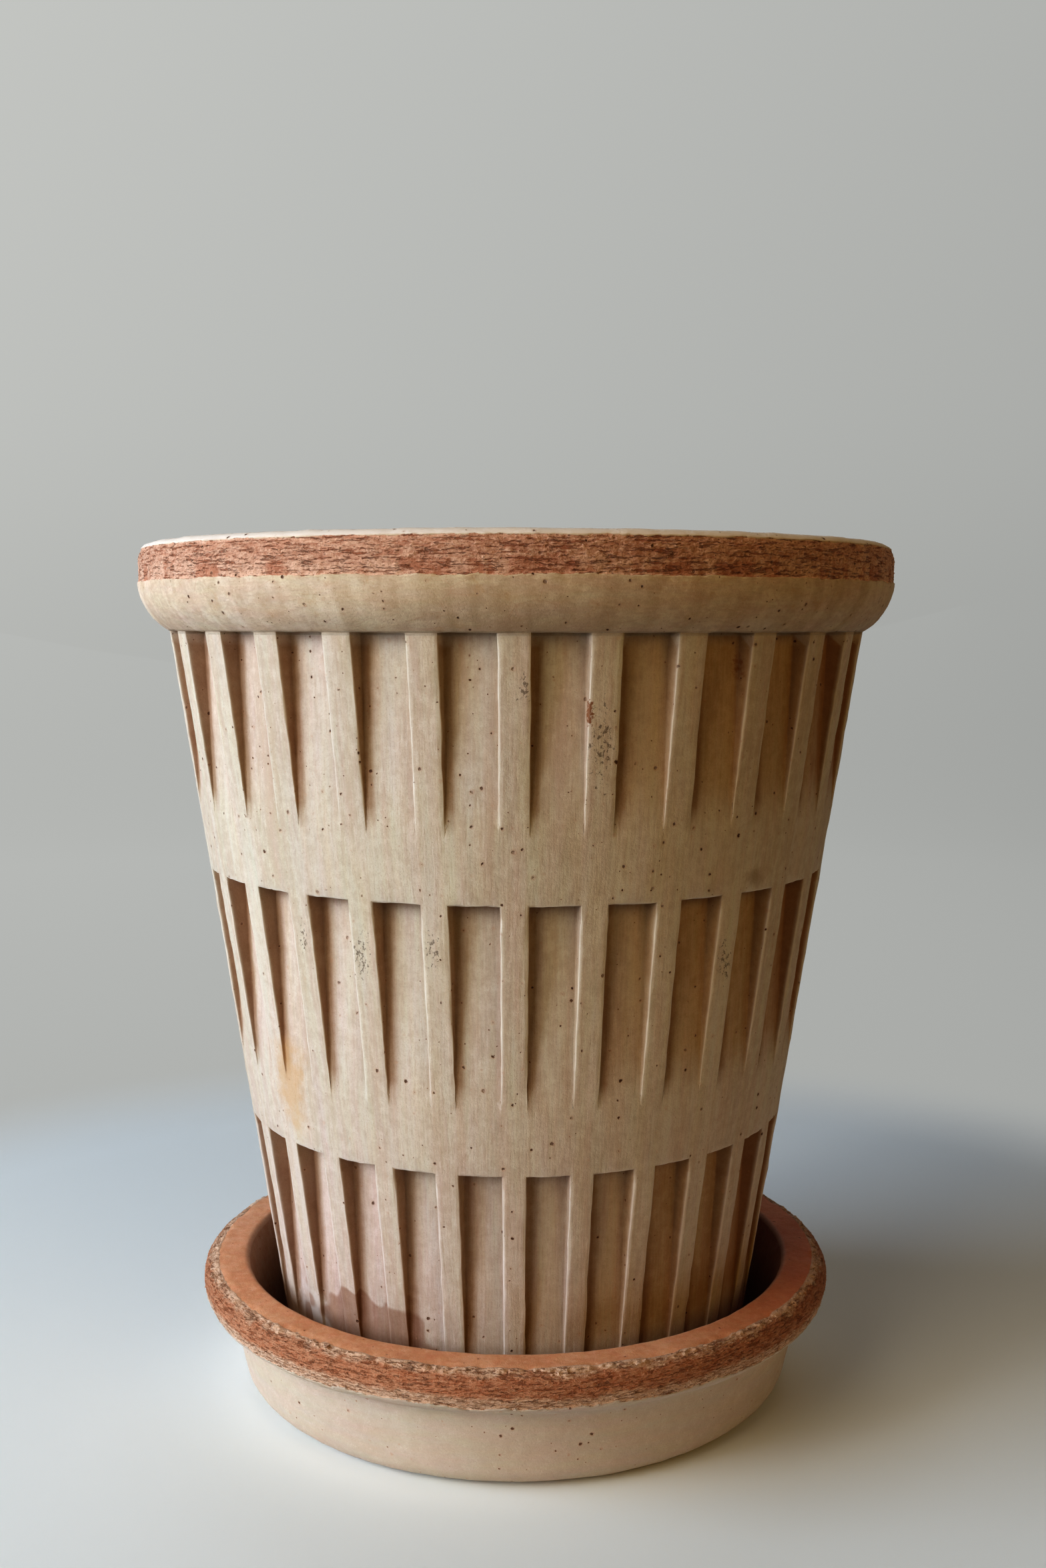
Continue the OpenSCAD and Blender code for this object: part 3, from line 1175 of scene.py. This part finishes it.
saucerFinish = {
    "pale": (0.59, 0.49, 0.405),
    "deep": (0.545, 0.445, 0.36),
    "lip": (0.8, 0.58, 0.44),
    "roughRed": (0.6, 0.35, 0.22),
    "roughPale": (0.8, 0.58, 0.44),
    "red": (0.52, 0.2, 0.1),
    "redPale": (0.63, 0.35, 0.22),
    "redDeep": (0.28, 0.11, 0.05),
    "orange": (0.76, 0.42, 0.26),
    "orangeDeep": (0.65, 0.31, 0.17),
    "wetTint": (0.78, 0.5, 0.32),
    "dishTint": (0.55, 0.6, 0.62),
    "pore": (0.17, 0.085, 0.05),
    "rimInside": (86.3, 85.7),  # radii in mm between which something begins
    "rimOutside": (83.0, 84.0),
    "lipInside": (81.0, 79.0),
    "dishInside": (78.8, 77.4),
    "lipFrom": (34.0, 35.5),  # heights in mm
    "topFrom": (34.8, 35.4),
    "redFrom": (29.6, 31.0),
    "redBelow": (35.8, 34.6),
    "wetRightwards": (34, 84),  # mm to the right of the axis
}


def saucerClay():
    tone = saucerFinish
    material, tree, shader, wheel = startMaterial("saucerClay")
    place, height, radius = wheel["Place"], wheel["Height"], wheel["Radius"]
    wander = grain(tree, place, 6.0, 4.0, 0.6)

    # bare orange inside and on top, lime skin outside
    within = total(tree, (radius, 1.0), (wander, 1.2), (0.6, -1.0))
    onTop = product(tree, fade(tree, within, *tone["rimInside"]), meshValue(tree, "inside"))
    along = blend(tree, onTop, stretched(tree, place, (0.2, 0.2, 1)), place)
    slip = useGroup(tree, limeSlip, {"Place": place, "Along": along, "Streaks": 0.4,
                                     "Pale": blend(tree, onTop, tone["pale"], tone["orange"]),
                                     "Deep": blend(tree, onTop, tone["deep"], tone["orangeDeep"])})

    # the torn rim: red-brown round the middle, paler above and below
    ragged = total(tree, (height, 1.0), (wander, 5.0), (2.5, -1.0))
    middle = product(tree, fade(tree, ragged, *tone["redFrom"]), fade(tree, ragged, *tone["redBelow"]))
    fine = stretched(tree, place, (1.5, 1.5, 1.25))
    torn = useGroup(tree, scrapedClay, {"Place": fine, "Pit": meshValue(tree, "pitDepth"), "Low": 0.0,
                                        "Red": blend(tree, middle, tone["roughRed"], tone["red"]),
                                        "Pale": blend(tree, middle, tone["roughPale"], tone["redPale"]),
                                        "Deep": tone["redDeep"]})
    scraped = highest(tree, scrapedBorder(tree, place), fade(tree, height, *tone["topFrom"]))
    scraped = product(tree, scraped, without(tree, onTop), fade(tree, radius, *tone["rimOutside"]))

    # painted shade: darker and ruddier towards the right, away from the window; darker and greyer down in the
    # dish, partly damp and partly painted shade; and paler along the lip
    shadeRight = product(tree, onTop, fade(tree, axes(tree, place)[0], *tone["wetRightwards"]))
    colour = tint(tree, shadeRight, slip["Color"], tone["wetTint"])
    inDishShade = product(tree, onTop, fade(tree, radius, *tone["dishInside"]))
    colour = tint(tree, inDishShade, colour, tone["dishTint"])
    lip = product(tree, fade(tree, meshValue(tree, "edge"), 0.03, 0.15),
                  fade(tree, radius, *tone["lipInside"]), fade(tree, height, *tone["lipFrom"]), 0.5)
    colour = blend(tree, lip, colour, tone["lip"])
    colour = blend(tree, scraped, colour, torn["Color"])

    pores = useGroup(tree, clayPores, {"Place": place, "Spacing": 2.8, "Largest": 0.28, "Share": 0.85})
    colour = blend(tree, product(tree, pores["Halo"], 0.3), colour, tone["red"])
    colour = blend(tree, pores["Pore"], colour, tone["pore"])

    relief = blend(tree, scraped, slip["Height"], torn["Height"])
    relief = total(tree, (relief, 1.0), (pores["Pore"], -0.3))
    roughness = total(tree, (wander, 0.12), (onTop, -0.12), (0.82, 1.0))
    finishMaterial(tree, shader, colour, roughness, relief)
    return material


saucer = makeSaucer()
saucer.data.materials.append(saucerClay())

print("scene made")
